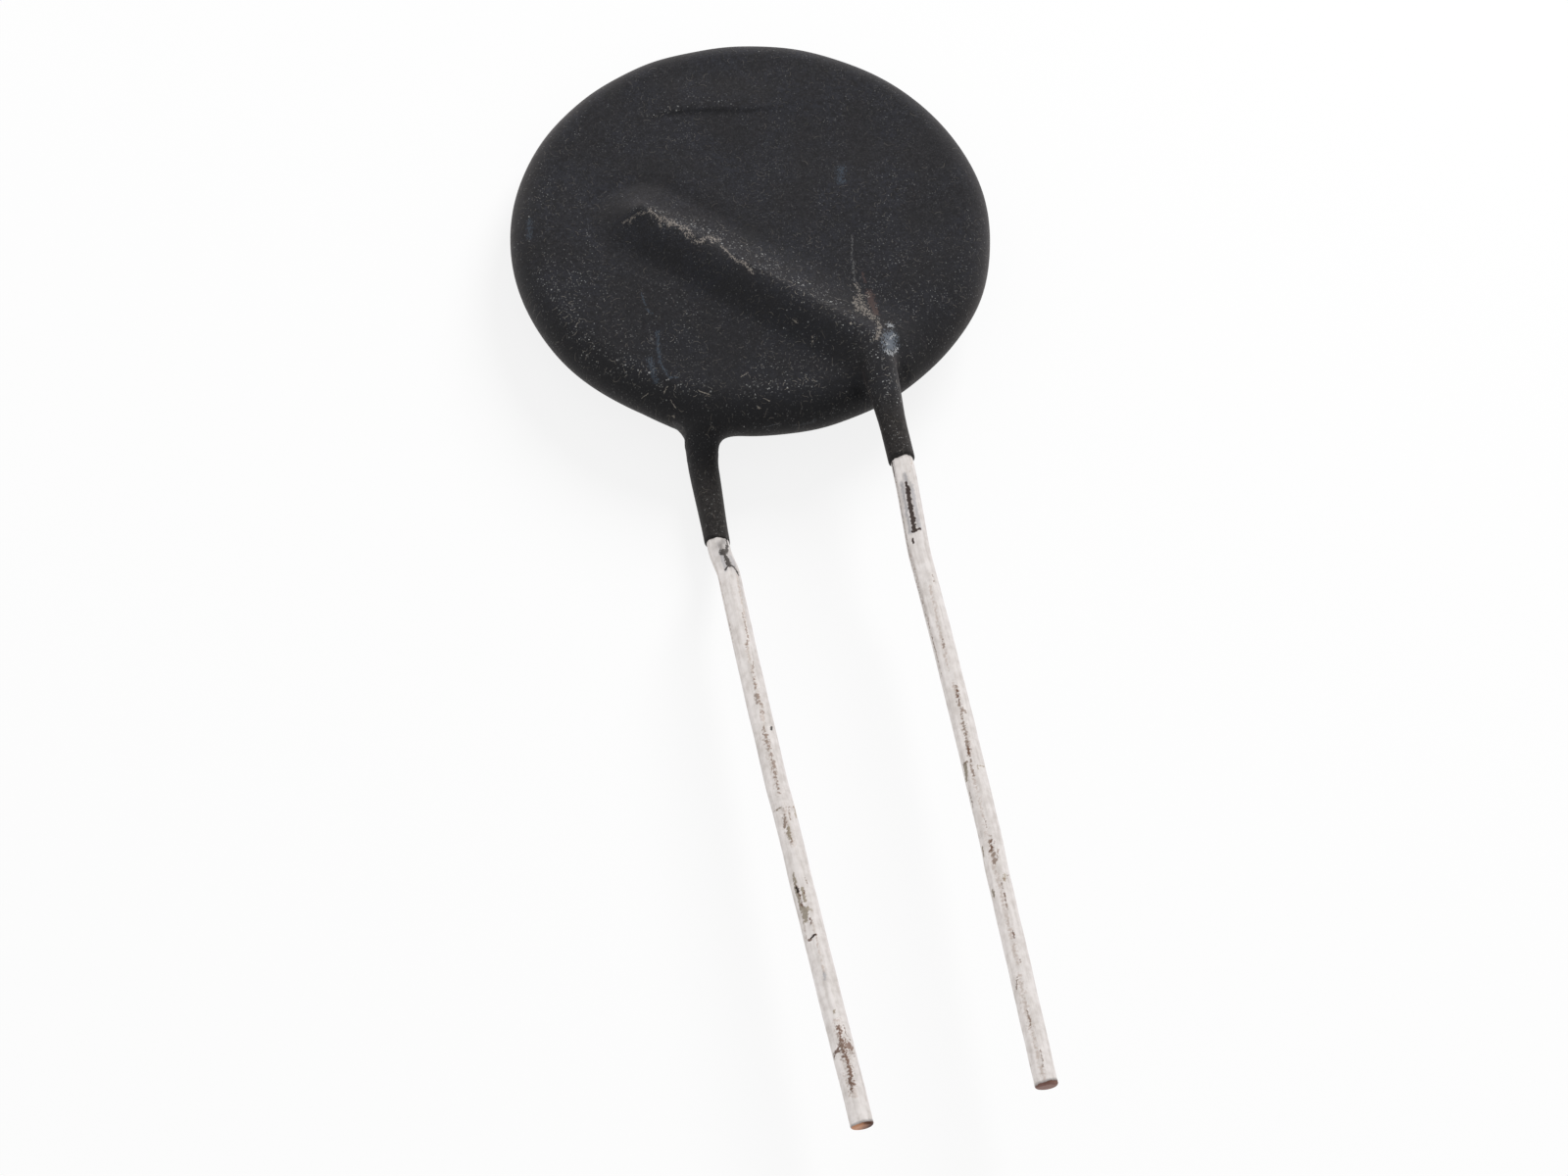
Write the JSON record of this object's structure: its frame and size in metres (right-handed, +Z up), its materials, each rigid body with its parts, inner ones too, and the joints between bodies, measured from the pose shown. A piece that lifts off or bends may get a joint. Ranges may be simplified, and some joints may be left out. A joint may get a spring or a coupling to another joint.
{
  "type": "ntc thermistor",
  "caption": "Disc-shaped inrush-current thermistor in a black dipped resin coat, with a diagonal ridge over each soldered wire and radial tinned leads kinked towards the middle",
  "frame": {"origin": "middle of the part's footprint on the surface that it lies on", "axes": "+Z up, out of the front face apart from the part's lean; +Y from the lead tips to the disc; +X to the right seen from the front with the leads down"},
  "size_m": [0.022, 0.0578, 0.0053],
  "materials": {
    "resin": "matt black dipped resin, finely grained and dusty, worn along the front ridge",
    "tinned_wire": "tinned copper, satin, with brown stains and rings and bare copper at the sheared tips",
    "sintered_ceramic": "dull dark sintered oxide",
    "fired_silver": "matt fired silver",
    "solder": "satin solder"
  },
  "bodies": {
    "root": {"coating": "resin", "ceramic_disc": "sintered_ceramic", "front_electrode": "fired_silver", "back_electrode": "fired_silver", "front_lead": "tinned_wire", "back_lead": "tinned_wire", "front_solder": "solder", "back_solder": "solder"}
  },
  "joints": []
}
